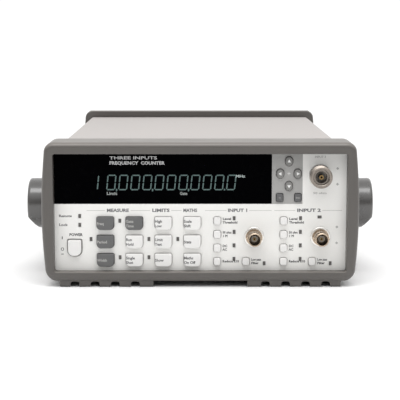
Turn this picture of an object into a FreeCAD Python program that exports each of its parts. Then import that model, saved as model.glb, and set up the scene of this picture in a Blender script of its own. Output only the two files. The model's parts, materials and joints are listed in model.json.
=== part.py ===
# Half-rack bench frequency counter: rubber bumpers at both ends of a painted sleeve, a moulded front
# panel with push keys and coaxial jacks, a swinging carry handle, and the electronics inside.
# Row frame in millimetres: +Z up, -Y is the front, origin at the bottom centre of the whole object.
# Heights are written with the feet at -LIFT, and every shape is raised by LIFT when it is exported.
import FreeCAD, Part

import math
import os

V = FreeCAD.Vector

# ---------------------------------------------------------------- driving dimensions
CASE_W = 212.6            # painted sleeve, side to side
CASE_H = 88.5             # painted sleeve, bottom to top
TOTAL_H = 103.8           # feet to top of the bumpers
TOTAL_D = 374.0           # front face of the front bumper to back face of the rear one
TIP_OVERHANG = 7.5        # how far the front jacks stand out past the front bumper
HANDLE_W = 256.4          # over the two handle hubs

LIFT = 1.35               # how much more the case stands clear of the bench than of the bumpers' tops
HALF_W = CASE_W / 2
CASE_Z0 = (TOTAL_H - CASE_H) / 2
MID_Z = TOTAL_H / 2
FOOT_Z = -LIFT
TOP_Z = TOTAL_H - LIFT
FRONT_Y = -(TOTAL_D - TIP_OVERHANG) / 2     # row-frame Y of the front bumper's face

BUMPER_DEPTH = 35.0
BUMPER_BASE = FOOT_Z + 4.0                  # underside of the bumper ring
BUMPER_ROUND = 3.5        # rounding of the bumper's outer edge, all the way round
REAR_DROP = 2.0           # how much lower the rear bumper's top is at its outer edge
LIP = 1.9                 # how far the bumper's lip laps over the panel's edge
PANEL_FACE = 8.0          # depth of the front panel's face behind the bumper's face
PANEL_T = 3.0
REAR_FACE = PANEL_FACE + 348.3              # depth of the rear panel's outer face
SHEET = 1.2
COVER_FRONT = 16.2
COVER_R = 4.0
CHASSIS_HALF = HALF_W - 1.5
CHASSIS_Z = CASE_Z0 + SHEET + 0.25
CORNER_TABS = [(sx * 98.0, z) for sx in (-1, 1) for z in (20.0, 84.0)]
TAB_HALF = 5.0

PIVOT_DEPTH = 57.0
HUB_R = 18.7
HUB_IN = 108.7
ARM_IN = 113.9
ARM_OUT = 121.4
PIN_R = 7.0

# keys: centre x, centre z, cap sizes, and how far each kind stands out of the panel
KEY_COLUMNS = [-68.1 + 20.77 * k for k in range(4)]
KEY_ROWS = [43.85 - 13.3 * k for k in range(3)]
KEY_SIZE = (12.3, 9.3)
KEY_PROUD = 3.0
SMALL_ROWS = [45.6 - 9.87 * k for k in range(4)]
SMALL_SIZE = (5.1, 5.5)
SMALL_PROUD = 2.2
ARROW_CENTRE = (63.2, 79.6)
ARROW_STEP = (6.2, 8.9)
ARROW_SIZE = (5.2, 6.6)
PAD_KEY_SIZE = (4.8, 5.8)
PAD_KEY_STEP = 6.5
PAD_KEY_Z = 62.35
PAD_PROUD = 1.6
POWER_CENTRE = (-90.2, 26.1)
POWER_SIZE = (9.6, 11.4)
KEY_GAP = 0.35
POWER_GAP = 0.8
FLANGE_OVERLAP = 0.4      # how far each key's inner flange laps behind the panel

INPUT_PITCH = 47.6        # channel 1 to channel 2, along X
INPUT_1_X = 12.1          # column of small keys on channel 1
INPUT_KEY_5 = 20.6        # from that column to the fifth key, beside the jack
JACK_1 = (38.4, 34.1)
JACK_3 = (85.4, 78.1)
INDICATOR = (1.9, 2.8)    # width and height of a light pipe's end
INDICATOR_RISE = 1.8      # its centre above the centre of the key beside it

WINDOW = (-105.0, 51.1, 57.75, 95.1)        # x0, x1, z0, z1 of the display pane

BNC_R = 4.83
BNC_LUG_BODY_R = 5.1
BNC_BORE_R = 4.05
BNC_FLANGE_R = 7.2
BNC_TAIL_R = 4.0
BNC_LENGTH = PANEL_FACE + TIP_OVERHANG
N_R = 7.8
N_TIP = PANEL_FACE - 12.5

REAR_JACKS = [(62.0, 68.0), (78.0, 68.0), (94.0, 68.0)]
INLET = (-75.0, 36.0)
INLET_SCREWS = 40.0
FAN = (-14.0, 52.0)
FAN_SIZE = 60.0
FAN_BACK = REAR_FACE - SHEET - 0.1
FAN_DEPTH = 25.0
BUS_PORT = (62.0, 30.0)   # 24-way instrument bus connector
BUS_SCREWS = 53.5
SERIAL_PORT = (38.0, 68.0)
SERIAL_SCREWS = 25.0

BOARD_Z = 16.3
BOARD_T = 1.6
BOARD_TOP = BOARD_Z + BOARD_T
BOARD_SCREWS = [(-22, 44), (34, 140), (92, 44), (-22, 210), (92, 210), (-22, 318), (92, 318)]
SUPPLY_SCREWS = [(-94, 196), (-42, 196), (-94, 312), (-42, 312)]
FRONT_BOARD = 17.5        # depth of the front board's face
MAT_FACE = 15.0


# ---------------------------------------------------------------- shape helpers
def y_at(depth):
    """Row-frame Y of a plane that many millimetres behind the front bumper's face."""
    return FRONT_Y + depth


def block(x0, x1, d0, d1, z0, z1):
    return Part.makeBox(x1 - x0, d1 - d0, z1 - z0, V(x0, y_at(d0), z0))


def rod_y(r, x, z, d0, d1):
    """A cylinder along Y."""
    return Part.makeCylinder(r, d1 - d0, V(x, y_at(d0), z), V(0, 1, 0))


def rod_x(r, d, z, x0, x1):
    """A cylinder along X."""
    return Part.makeCylinder(r, x1 - x0, V(x0, y_at(d), z), V(1, 0, 0))


def rod_z(r, x, d, z0, z1):
    """A cylinder along Z."""
    return Part.makeCylinder(r, z1 - z0, V(x, y_at(d), z0), V(0, 0, 1))


def fuse_all(shapes):
    whole = shapes[0]
    if len(shapes) > 1:
        whole = whole.multiFuse(shapes[1:]).removeSplitter()
    return whole


def cut_all(shape, tools):
    return shape.cut(Part.makeCompound(tools)) if tools else shape


def rounded_wire(points, radii, place):
    """A closed wire through 2-D corner points, each rounded by its radius; place maps (u, v) to 3-D."""
    count = len(points)
    ends = []
    for i, (u, v) in enumerate(points):
        pu, pv = points[i - 1]
        nu, nv = points[(i + 1) % count]
        before = V(pu - u, pv - v, 0).normalize()
        after = V(nu - u, nv - v, 0).normalize()
        corner = V(u, v, 0)
        radius = radii[i]
        if radius <= 0:
            ends.append((corner, None, corner))
            continue
        half = before.getAngle(after) / 2
        reach = radius / math.tan(half)
        middle = (before + after).normalize()
        centre = corner + middle * (radius / math.sin(half))
        ends.append((corner + before * reach, centre - middle * radius, corner + after * reach))
    edges = []
    for i in range(count):
        start, mid, end = ends[i]
        if mid is not None:
            edges.append(Part.Arc(place(start), place(mid), place(end)).toShape())
        following = ends[(i + 1) % count][0]
        if (following - end).Length > 1e-6:
            edges.append(Part.LineSegment(place(end), place(following)).toShape())
    return Part.Wire(edges)


def prism_y(points, radii, d0, d1):
    """An XZ outline carried along Y."""
    wire = rounded_wire(points, radii, lambda p: V(p.x, y_at(d0), p.y))
    return Part.Face(wire).extrude(V(0, d1 - d0, 0))


def prism_x(points, radii, x0, x1):
    """A (depth, z) outline carried along X."""
    wire = rounded_wire(points, radii, lambda p: V(x0, y_at(p.x), p.y))
    return Part.Face(wire).extrude(V(x1 - x0, 0, 0))


def rectangle(cx, cz, w, h):
    x0, x1 = cx - w / 2, cx + w / 2
    z0, z1 = cz - h / 2, cz + h / 2
    return [(x0, z0), (x1, z0), (x1, z1), (x0, z1)]


def slanted(cx, cz, w, h, slant, wall=0.0):
    """A connector shell's outline, narrower below by slant on each side, shrunk all round by wall."""
    half_w, half_h = w / 2 - wall, h / 2 - wall
    return [(cx - half_w + slant, cz - half_h), (cx + half_w - slant, cz - half_h),
            (cx + half_w, cz + half_h), (cx - half_w, cz + half_h)]


def rounded_block(cx, cz, w, h, r, d0, d1):
    return prism_y(rectangle(cx, cz, w, h), [r] * 4, d0, d1)


def pair(centre, apart):
    """Two places on the same level, that far apart about a centre."""
    return [(centre[0] + s * apart / 2, centre[1]) for s in (-1, 1)]


def edges_at_depth(shape, depth):
    """The edges that lie wholly in one plane across Y."""
    y = y_at(depth)
    near = 1e-4
    return [e for e in shape.Edges if abs(e.BoundBox.YMin - y) < near and abs(e.BoundBox.YMax - y) < near]


def hexagon_y(across, x, z, d0, d1):
    """A hexagonal prism along Y, by its size across flats."""
    r = across / math.sqrt(3)
    turns = [math.radians(60 * k + 30) for k in range(6)]
    return prism_y([(x + r * math.cos(a), z + r * math.sin(a)) for a in turns], [0] * 6, d0, d1)


def tube_along(points, radius, bend):
    """A round wire or cable along straight runs joined by tangent arcs. Points are (x, depth, z)."""
    at = [V(x, y_at(d), z) for x, d, z in points]
    edges = []
    start = at[0]
    for i in range(1, len(at) - 1):
        before = (at[i - 1] - at[i]).normalize()
        after = (at[i + 1] - at[i]).normalize()
        half = before.getAngle(after) / 2
        reach = bend / math.tan(half)
        middle = (before + after).normalize()
        centre = at[i] + middle * (bend / math.sin(half))
        first = at[i] + before * reach
        last = at[i] + after * reach
        edges.append(Part.LineSegment(start, first).toShape())
        edges.append(Part.Arc(first, centre - middle * bend, last).toShape())
        start = last
    edges.append(Part.LineSegment(start, at[-1]).toShape())
    path = Part.Wire(edges)
    circle = Part.Circle(at[0], (at[1] - at[0]).normalize(), radius).toShape()
    return path.makePipeShell([Part.Wire([circle])], True, False)


def mirrored_depth(shape):
    """The same shape turned end for end, about the middle of the bumper-to-bumper depth."""
    return shape.mirror(V(0, y_at(TOTAL_D / 2), 0), V(0, 1, 0))


# ---------------------------------------------------------------- bumpers, sleeve and chassis
def bumper(opening_w, opening_h, lip_depth, drop):
    """A rubber end ring: a lip round the panel, bowed sides, a rounded outer edge and slotted feet."""
    corner_x = HALF_W + 4.0
    side_x = HALF_W + 8.3
    side_r = 400.0
    low_r = 9.0
    high_r = 7.0
    outline = [
        (-corner_x, BUMPER_BASE), (corner_x, BUMPER_BASE), (side_x, MID_Z),
        (corner_x, TOP_Z), (-corner_x, TOP_Z), (-side_x, MID_Z),
    ]
    ring = prism_y(outline, [low_r, low_r, side_r, high_r, high_r, side_r], 0, BUMPER_DEPTH)
    ring = ring.makeFillet(BUMPER_ROUND, edges_at_depth(ring, 0))
    ring = ring.makeFillet(1.2, edges_at_depth(ring, BUMPER_DEPTH))
    if drop > 0:
        above = TOP_Z + 10
        slope = [(-1, TOP_Z - drop), (BUMPER_DEPTH, TOP_Z), (BUMPER_DEPTH, above), (-1, above)]
        ring = ring.cut(prism_x(slope, [0] * 4, -HALF_W - 20, HALF_W + 20))
    grip = 0.15
    cavity_w, cavity_h = CASE_W + 2 * grip, CASE_H + 2 * grip
    cavity = rounded_block(0, MID_Z, cavity_w, cavity_h, COVER_R + grip, lip_depth, BUMPER_DEPTH + 5)
    opening = rounded_block(0, MID_Z, opening_w, opening_h, 1.5, -5, lip_depth + 1)
    ring = ring.cut(cavity).cut(opening)
    reach_x, reach_z = opening_w / 2 + 0.1, opening_h / 2 + 0.1
    mouth = [
        e for e in edges_at_depth(ring, 0)
        if max(-e.BoundBox.XMin, e.BoundBox.XMax) < reach_x
        and max(MID_Z - e.BoundBox.ZMin, e.BoundBox.ZMax - MID_Z) < reach_z
    ]
    ring = ring.makeFillet(0.6, mouth)
    return ring.fuse(feet()).removeSplitter()


def feet():
    """A bar under each side, cut by four round-topped slots into five pads that stand on the bench."""
    bar_x0 = 33.7
    bar_x1 = 100.6
    slot_w = 6.4
    slot_pitch = 14.4
    first_slot = 46.6
    inset = 1.6
    below = FOOT_Z - 2.0
    bars = []
    for side in (-1, 1):
        x0, x1 = sorted((side * bar_x0, side * bar_x1))
        bar = block(x0, x1, inset, BUMPER_DEPTH - inset, FOOT_Z, BUMPER_BASE + 1.5)
        slots = []
        for k in range(4):
            centre = side * (first_slot + slot_pitch * k)
            corners = rectangle(centre, (below + BUMPER_BASE) / 2, slot_w, BUMPER_BASE - below)
            slots.append(prism_y(corners, [0, 0, 2.0, 2.0], 0, BUMPER_DEPTH))
        bar = cut_all(bar, slots)
        low = [e for e in bar.Edges if e.BoundBox.ZMax < FOOT_Z + 0.01]
        bars.append(bar.makeFillet(0.8, low))
    return Part.makeCompound(bars)


def front_bumper():
    return bumper(CASE_W - 2 * LIP, CASE_H - 2 * LIP, PANEL_FACE, 0)


def rear_bumper():
    rear_lip = 3.3
    ring = bumper(CASE_W - 2 * rear_lip, CASE_H - 2 * rear_lip, TOTAL_D - REAR_FACE - 0.2, REAR_DROP)
    return mirrored_depth(ring)


def cover():
    """The one-piece painted sleeve, with side vents near the back and a hole for each handle boss."""
    outer = rounded_block(0, MID_Z, CASE_W, CASE_H, COVER_R, COVER_FRONT, REAR_FACE)
    inner_w, inner_h = CASE_W - 2 * SHEET, CASE_H - 2 * SHEET
    inner = rounded_block(0, MID_Z, inner_w, inner_h, COVER_R - SHEET, 0, REAR_FACE + 5)
    sleeve = outer.cut(inner)
    slot_w = 3.0
    slot_pitch = 6.5
    slots = []
    for k in range(13):
        centre = 226.0 + slot_pitch * k
        for z in (34.0, 70.0):
            corners = rectangle(centre, z, slot_w, 28.0)
            slots.append(prism_x(corners, [slot_w / 2 - 0.01] * 4, -HALF_W - 5, HALF_W + 5))
    holes = [rod_x(5.0, PIVOT_DEPTH, MID_Z, -HALF_W - 5, HALF_W + 5)]
    return cut_all(sleeve, slots + holes)


def chassis():
    """A folded tray: floor, low sides, front flange, rear tabs and pressed-in board standoffs."""
    side_top = 36.0
    front = PANEL_FACE + 20.5
    back = REAR_FACE - SHEET - 0.1
    mid_z = (CHASSIS_Z + side_top) / 2
    tray = rounded_block(0, mid_z, 2 * CHASSIS_HALF, side_top - CHASSIS_Z, 2.6, front, back)
    inside = CHASSIS_HALF - SHEET
    hollow = block(-inside, inside, front - 1, back + 1, CHASSIS_Z + SHEET, side_top + 1)
    outside = CHASSIS_HALF + 1
    open_top = block(-outside, outside, front - 1, back + 1, side_top - 3, side_top + 1)
    tray = tray.cut(hollow).cut(open_top)
    flange = block(-CHASSIS_HALF + 2, CHASSIS_HALF - 2, front, front + SHEET, CHASSIS_Z, 15.0)
    pieces = [tray, flange]
    for x, z in CORNER_TABS:
        side = math.copysign(1, x)
        foot = sorted((x - TAB_HALF * side, CHASSIS_HALF * side))
        pieces.append(block(*foot, back - SHEET, back, z - TAB_HALF, z + TAB_HALF))
        wall = sorted((side * (CHASSIS_HALF - SHEET), side * CHASSIS_HALF))
        pieces.append(block(*wall, back - 30, back, min(z - TAB_HALF, 30), z + TAB_HALF))
    for x, d in BOARD_SCREWS + SUPPLY_SCREWS:
        pieces.append(rod_z(3.0, x, d, CHASSIS_Z + SHEET / 2, BOARD_Z))
    whole = fuse_all(pieces)
    holes = [rod_z(1.55, x, d, CHASSIS_Z + SHEET, BOARD_Z + 1) for x, d in BOARD_SCREWS + SUPPLY_SCREWS]
    holes += [rod_y(1.55, x, z, back - 4, back + 1) for x, z in CORNER_TABS]
    return cut_all(whole, holes)


def fan_grille():
    """Round vent holes inside the fan's circle, on a staggered grid."""
    hole_r = 2.1
    step = 5.6
    reach = FAN_SIZE / 2 - 4.5
    holes = []
    for row in range(-6, 7):
        for col in range(-6, 7):
            x = step * (col + 0.5 * (row % 2))
            z = step * 0.866 * row
            if math.hypot(x, z) <= reach:
                holes.append(rod_y(hole_r, FAN[0] + x, FAN[1] + z, REAR_FACE - 5, REAR_FACE + 5))
    return holes


def fan_corners():
    offset = 25.0
    return [(FAN[0] + sx * offset, FAN[1] + sz * offset) for sx in (-1, 1) for sz in (-1, 1)]


def rear_panel():
    """The flat back plate with every connector cut-out and the fan's vent holes."""
    h = 2 * (MID_Z - CHASSIS_Z)
    plate = rounded_block(0, MID_Z, 2 * CHASSIS_HALF, h, 2.0, REAR_FACE - SHEET, REAR_FACE)
    through = (REAR_FACE - 5, REAR_FACE + 5)
    tools = fan_grille()
    tools += [rod_y(1.9, x, z, *through) for x, z in fan_corners()]
    tools += [rod_y(BNC_TAIL_R + 0.3, x, z, *through) for x, z in REAR_JACKS]
    tools += [rod_y(1.6, x, z, *through) for x, z in CORNER_TABS]
    tools += [rod_y(1.6, x, z, *through) for x, z in pair(INLET, INLET_SCREWS)]
    tools.append(rounded_block(INLET[0], INLET[1], 28.0, 20.6, 1.5, *through))
    tools.append(rounded_block(BUS_PORT[0], BUS_PORT[1], 43.0, 12.4, 2.0, *through))
    tools += [rod_y(2.4, x, z, *through) for x, z in pair(BUS_PORT, BUS_SCREWS)]
    tools.append(rounded_block(SERIAL_PORT[0], SERIAL_PORT[1], 18.4, 9.8, 1.5, *through))
    tools += [rod_y(1.6, x, z, *through) for x, z in pair(SERIAL_PORT, SERIAL_SCREWS)]
    return cut_all(plate, tools)


# ---------------------------------------------------------------- keys
def key_table():
    """Every moving key: name, centre, size, corner radii (bottom two, top two) and how proud it stands."""
    soft = (3.0, 3.0, 1.1, 1.1)
    keys = []
    columns = [
        ("measure_key_1", "measure_key_2", "measure_key_3"), ("gate_key", "run_key", "stop_key"),
        ("limits_key_1", "limits_key_2", "limits_key_3"), ("maths_key_1", "maths_key_2", "maths_key_3"),
    ]
    for x, names in zip(KEY_COLUMNS, columns):
        for z, name in zip(KEY_ROWS, names):
            keys.append((name, (x, z), KEY_SIZE, soft, KEY_PROUD))
    for channel in (1, 2):
        x = INPUT_1_X + INPUT_PITCH * (channel - 1)
        for row, z in enumerate(SMALL_ROWS):
            keys.append((f"input_{channel}_key_{row + 1}", (x, z), SMALL_SIZE, (1.4,) * 4, SMALL_PROUD))
        fifth = (x + INPUT_KEY_5, SMALL_ROWS[-1])
        keys.append((f"input_{channel}_key_5", fifth, SMALL_SIZE, (1.4,) * 4, SMALL_PROUD))
    for name, sx, sz in (("up", 0, 1), ("down", 0, -1), ("left", -1, 0), ("right", 1, 0)):
        centre = (ARROW_CENTRE[0] + sx * ARROW_STEP[0], ARROW_CENTRE[1] + sz * ARROW_STEP[1])
        keys.append((f"arrow_{name}_key", centre, ARROW_SIZE, (2.55,) * 4, PAD_PROUD))
    for name, sx in (("sign_key", -1), ("enter_key", 1)):
        centre = (ARROW_CENTRE[0] + sx * PAD_KEY_STEP, PAD_KEY_Z)
        keys.append((name, centre, PAD_KEY_SIZE, (0.9,) * 4, PAD_PROUD))
    keys.append(("power_button", POWER_CENTRE, POWER_SIZE, (4.0, 4.0, 0.9, 0.9), KEY_PROUD))
    return keys


def key_gap(name):
    return POWER_GAP if name == "power_button" else KEY_GAP


def grown_key(centre, size, radii, margin, d0, d1):
    """A key's outline made larger by a margin all round, carried along Y."""
    corners = rectangle(*centre, size[0] + 2 * margin, size[1] + 2 * margin)
    return prism_y(corners, [r + margin for r in radii], d0, d1)


def key_cap(name, centre, size, radii, proud):
    """A push cap: rounded front, straight shank through the panel, retaining flange and short plunger."""
    back = PANEL_FACE + PANEL_T + 0.3
    front = PANEL_FACE - proud
    cap = prism_y(rectangle(*centre, *size), list(radii), front, back)
    cap = cap.makeFillet(0.7, edges_at_depth(cap, front))
    flange = grown_key(centre, size, radii, key_gap(name) + FLANGE_OVERLAP, back, back + 1.0)
    plunger = rod_y(1.8, centre[0], centre[1], back + 0.9, MAT_FACE - 2.0)
    return fuse_all([cap, flange, plunger])


def indicator_positions():
    """Small rectangular light pipes beside the keys: centre x, centre z, width, height."""
    half_pitch = (KEY_COLUMNS[1] - KEY_COLUMNS[0]) / 2
    lights = [(-86.4, 49.05, *INDICATOR), (-86.4, 42.65, *INDICATOR)]
    lights.append((KEY_COLUMNS[0] - half_pitch, KEY_ROWS[1] + INDICATOR_RISE, *INDICATOR))
    for column, row in ((0, 0), (0, 2), (1, 1), (1, 2), (2, 1)):
        lights.append((KEY_COLUMNS[column] + half_pitch, KEY_ROWS[row] + INDICATOR_RISE, *INDICATOR))
    for channel in range(2):
        shift = INPUT_PITCH * channel
        lights += [(24.2 + shift, z + INDICATOR_RISE, *INDICATOR) for z in SMALL_ROWS]
        lights.append((45.9 + shift, SMALL_ROWS[-1] - 1.4, *INDICATOR))
    lights.append((JACK_3[0], 48.3, INDICATOR[1], INDICATOR[0]))
    return lights


def indicator_lenses():
    return Part.makeCompound([rounded_block(x, z, w, h, 0.3, PANEL_FACE - 0.3, MAT_FACE - 0.8)
                              for x, z, w, h in indicator_positions()])


# ---------------------------------------------------------------- front panel group
def front_panel():
    """Moulded bezel: thick face plate, rim flush with the sleeve and a tongue that slides inside it."""
    back = PANEL_FACE + PANEL_T
    fit = 0.1
    face_w, face_h = CASE_W - 2 * fit, CASE_H - 2 * fit
    face = rounded_block(0, MID_Z, face_w, face_h, COVER_R, PANEL_FACE, COVER_FRONT - 0.1)
    tongue_w = CASE_W - 2 * SHEET - 0.8
    tongue_h = CASE_H - 2 * SHEET - 0.8
    tongue = rounded_block(0, MID_Z, tongue_w, tongue_h, 2.5, PANEL_FACE + 4, PANEL_FACE + 20)
    wall = 1.6
    hollow = rounded_block(0, MID_Z, tongue_w - 2 * wall, tongue_h - 2 * wall, 1.5, back, PANEL_FACE + 21)
    whole = face.fuse(tongue).cut(hollow)
    x0, x1, z0, z1 = WINDOW
    tools = [block(x0, x1, PANEL_FACE - 1, PANEL_FACE + 2.0, z0, z1)]
    through = (PANEL_FACE - 1, back + 1)
    tools.append(rounded_block((x0 + x1) / 2, (z0 + z1) / 2, x1 - x0 - 14, z1 - z0 - 8, 1.5, *through))
    for name, centre, size, radii, _ in key_table():
        tools.append(grown_key(centre, size, radii, key_gap(name), *through))
    play = 0.16
    for x, z, w, h in indicator_positions():
        tools.append(prism_y(rectangle(x, z, w + play, h + play), [0] * 4, *through))
    for x, z in front_jack_places():
        tools.append(rod_y(BNC_TAIL_R + 0.3, x, z, *through))
    tools.append(rod_y(7.0, *JACK_3, *through))
    return cut_all(whole, tools)


def display_window():
    x0, x1, z0, z1 = WINDOW
    gap = 0.1
    pane = block(x0 + gap, x1 - gap, PANEL_FACE, PANEL_FACE + 1.95, z0 + gap, z1 - gap)
    return pane.makeChamfer(0.25, edges_at_depth(pane, PANEL_FACE))


def display_module():
    """Sealed glass display tube: front glass, back plate and the exhaust tip."""
    x0, x1, z0, z1 = WINDOW
    front = PANEL_FACE + PANEL_T + 0.2
    glass = block(x0 + 9, x1 - 9, front, front + 3.0, z0 + 5.5, z1 - 7.5)
    plate = block(x0 + 8, x1 - 8, front + 3.0, front + 6.0, z0 + 4.5, z1 - 6.5)
    tip = rod_x(1.6, front + 4.5, 79.0, x1 - 8.5, x1 - 3.0)
    return fuse_all([glass, plate, tip])


def front_board():
    board = block(-100, 100, FRONT_BOARD, FRONT_BOARD + BOARD_T, 12.5, 91.5)
    holes = [rod_y(6.0, x, z, FRONT_BOARD - 1, FRONT_BOARD + 3) for x, z in front_jack_places()]
    holes.append(rod_y(8.6, *JACK_3, FRONT_BOARD - 1, FRONT_BOARD + 3))
    return cut_all(board, holes)


def keypad_mat():
    """Silicone sheet behind the keys, with a raised dome under each and clearance round the jacks."""
    lower = block(-98, 98, MAT_FACE, MAT_FACE + 1.2, 13.0, 54.5)
    upper = block(52.5, 74, MAT_FACE, MAT_FACE + 1.2, 54.0, 91.0)
    domes = [rod_y(2.2, *key[1], MAT_FACE - 0.5, MAT_FACE + 0.5) for key in key_table()]
    sheet = fuse_all([lower, upper] + domes)
    holes = [rod_y(9.0, x, z, MAT_FACE - 1, MAT_FACE + 3) for x, z in front_jack_places()]
    return cut_all(sheet, holes)


# ---------------------------------------------------------------- coaxial jacks
def front_jack_places():
    return [JACK_1, (JACK_1[0] + INPUT_PITCH, JACK_1[1])]


def bnc_shell(x, z):
    """Plated bayonet jack facing the front: barrel, groove, body with two lugs, flange and tail."""
    tip = PANEL_FACE - BNC_LENGTH
    groove = tip + 3.4
    flange = rod_y(BNC_FLANGE_R, x, z, PANEL_FACE - 2.2, PANEL_FACE)
    flange = flange.makeFillet(0.6, edges_at_depth(flange, PANEL_FACE - 2.2))
    barrel = rod_y(BNC_R, x, z, tip, groove)
    barrel = barrel.makeChamfer(0.4, edges_at_depth(barrel, tip))
    waist = rod_y(4.55, x, z, groove - 0.5, groove + 1.0)
    body = rod_y(BNC_LUG_BODY_R, x, z, groove + 0.5, PANEL_FACE - 2.0)
    collar = rod_y(5.9, x, z, PANEL_FACE - 4.0, PANEL_FACE - 2.0)
    tail = rod_y(BNC_TAIL_R, x, z, PANEL_FACE - 0.5, PANEL_FACE + 15)
    lugs = rod_x(1.0, tip + 5.4, z, x - 5.65, x + 5.65)
    bore = rod_y(BNC_BORE_R, x, z, tip - 1, tip + 8.5)
    core = rod_y(2.4, x, z, tip + 7, PANEL_FACE + 16)
    return fuse_all([flange, barrel, waist, body, collar, tail, lugs]).cut(bore).cut(core)


def bnc_insulator(x, z):
    tip = PANEL_FACE - BNC_LENGTH
    sleeve = rod_y(2.35, x, z, tip + 5.0, PANEL_FACE + 15)
    return sleeve.cut(rod_y(1.1, x, z, tip, PANEL_FACE + 16))


def bnc_contact(x, z):
    tip = PANEL_FACE - BNC_LENGTH
    pin = rod_y(1.05, x, z, tip + 4.4, PANEL_FACE + 18)
    return pin.cut(rod_y(0.65, x, z, tip, tip + 9))


def jack_nut(x, z, d0):
    nut = hexagon_y(12.0, x, z, d0, d0 + 2.4)
    return nut.cut(rod_y(BNC_TAIL_R + 0.05, x, z, d0 - 1, d0 + 4))


def turned_to_back(shape, x, z):
    """A jack made at the front panel, turned to face backwards at the rear panel."""
    turned = shape.copy()
    turned.rotate(V(x, y_at(PANEL_FACE), z), V(0, 0, 1), 180)
    turned.translate(V(0, REAR_FACE - PANEL_FACE, 0))
    return turned


def front_jacks():
    pieces = [bnc_shell(x, z) for x, z in front_jack_places()]
    pieces += [jack_nut(x, z, PANEL_FACE + PANEL_T) for x, z in front_jack_places()]
    return Part.makeCompound(pieces)


def rear_jacks():
    pieces = [turned_to_back(bnc_shell(x, z), x, z) for x, z in REAR_JACKS]
    pieces += [jack_nut(x, z, REAR_FACE - SHEET - 2.4) for x, z in REAR_JACKS]
    return Part.makeCompound(pieces)


def channel_3_jack():
    """Larger screw-coupled jack: flange, coupling thread, stepped bore and threaded tail with its nut."""
    x, z = JACK_3
    flange = rod_y(8.2, x, z, PANEL_FACE - 1.8, PANEL_FACE)
    flange = flange.makeFillet(0.5, edges_at_depth(flange, PANEL_FACE - 1.8))
    barrel = rod_y(N_R, x, z, N_TIP, PANEL_FACE - 3.4)
    barrel = barrel.makeChamfer(0.5, edges_at_depth(barrel, N_TIP))
    neck = rod_y(6.9, x, z, PANEL_FACE - 3.6, PANEL_FACE)
    tail = rod_y(6.8, x, z, PANEL_FACE - 0.2, PANEL_FACE + 14)
    shell = fuse_all([flange, barrel, neck, tail])
    shell = shell.cut(rod_y(5.5, x, z, N_TIP - 1, N_TIP + 3.0))
    shell = shell.cut(rod_y(4.3, x, z, N_TIP + 2.9, N_TIP + 9.5))
    shell = shell.cut(rod_y(3.4, x, z, N_TIP + 9.4, PANEL_FACE + 15))
    nut = hexagon_y(18.0, x, z, PANEL_FACE + PANEL_T, PANEL_FACE + PANEL_T + 2.6)
    nut = nut.cut(rod_y(6.85, x, z, PANEL_FACE, PANEL_FACE + 10))
    return Part.makeCompound([shell, nut])


def jack_insulators():
    x, z = JACK_3
    bead = rod_y(3.35, x, z, N_TIP + 9.5, PANEL_FACE + 14)
    bead = bead.cut(rod_y(1.6, x, z, N_TIP, PANEL_FACE + 15))
    pieces = [bnc_insulator(px, pz) for px, pz in front_jack_places()]
    pieces += [turned_to_back(bnc_insulator(px, pz), px, pz) for px, pz in REAR_JACKS]
    return Part.makeCompound(pieces + [bead])


def inlet_blade_places():
    """Centres of the two outer blades and the earth blade between and above them."""
    x, z = INLET
    return [(x - 7.0, z - 2.0), (x, z + 2.0), (x + 7.0, z - 2.0)]


def inlet_blades():
    blades = []
    for x, z in inlet_blade_places():
        blade = prism_y(rectangle(x, z, 2.0, 4.0), [0] * 4, REAR_FACE - 26, REAR_FACE - 4.5)
        blades.append(blade.makeChamfer(0.5, edges_at_depth(blade, REAR_FACE - 4.5)))
    return blades


def serial_pin_places():
    """Five pins over four, on the standard staggered pitch."""
    x, z = SERIAL_PORT
    pitch = 2.77
    return [(x + pitch * (k - (n - 1) / 2), z + dz) for n, dz in ((5, 1.42), (4, -1.42)) for k in range(n)]


def connector_contacts():
    """Every bare contact: coaxial centre pins, mains inlet blades and serial port pins."""
    x, z = JACK_3
    large = rod_y(1.55, x, z, N_TIP + 2.0, PANEL_FACE + 17).cut(rod_y(0.85, x, z, N_TIP, N_TIP + 7))
    pieces = [bnc_contact(px, pz) for px, pz in front_jack_places()]
    pieces += [turned_to_back(bnc_contact(px, pz), px, pz) for px, pz in REAR_JACKS]
    pieces += [rod_y(0.5, px, pz, REAR_FACE - 6, REAR_FACE + 5.6) for px, pz in serial_pin_places()]
    return Part.makeCompound(pieces + [large] + inlet_blades())


# ---------------------------------------------------------------- rear connectors
def power_inlet():
    """Mains appliance inlet: screw flange, housing through the panel and a cavity with two cut corners."""
    x, z = INLET
    face = REAR_FACE + 2.5
    flange = rounded_block(x, z, 50.0, 24.0, 6.0, REAR_FACE, face)
    flange = flange.makeFillet(0.7, edges_at_depth(flange, face))
    body = rounded_block(x, z, 27.6, 20.2, 1.3, REAR_FACE - 24, REAR_FACE + 0.5)
    half_w, half_h, corner = 12.1, 8.1, 4.6
    low, high, shoulder = z - half_h, z + half_h, z + half_h - corner
    mouth = [(x - half_w, low), (x + half_w, low), (x + half_w, shoulder), (x + half_w - corner, high),
             (x - half_w + corner, high), (x - half_w, shoulder)]
    tools = [prism_y(mouth, [0.8] * 6, face - 19, face + 1)]
    for bx, bz in inlet_blade_places():
        tools.append(prism_y(rectangle(bx, bz, 2.1, 4.1), [0] * 4, REAR_FACE - 30, REAR_FACE))
    for sx, sz in pair(INLET, INLET_SCREWS):
        tools.append(rod_y(1.7, sx, sz, REAR_FACE - 1, face + 1))
        tools.append(Part.makeCone(1.7, 3.4, 1.7, V(sx, y_at(face - 1.7), sz), V(0, 1, 0)))
    return cut_all(fuse_all([flange, body]), tools)


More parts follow.
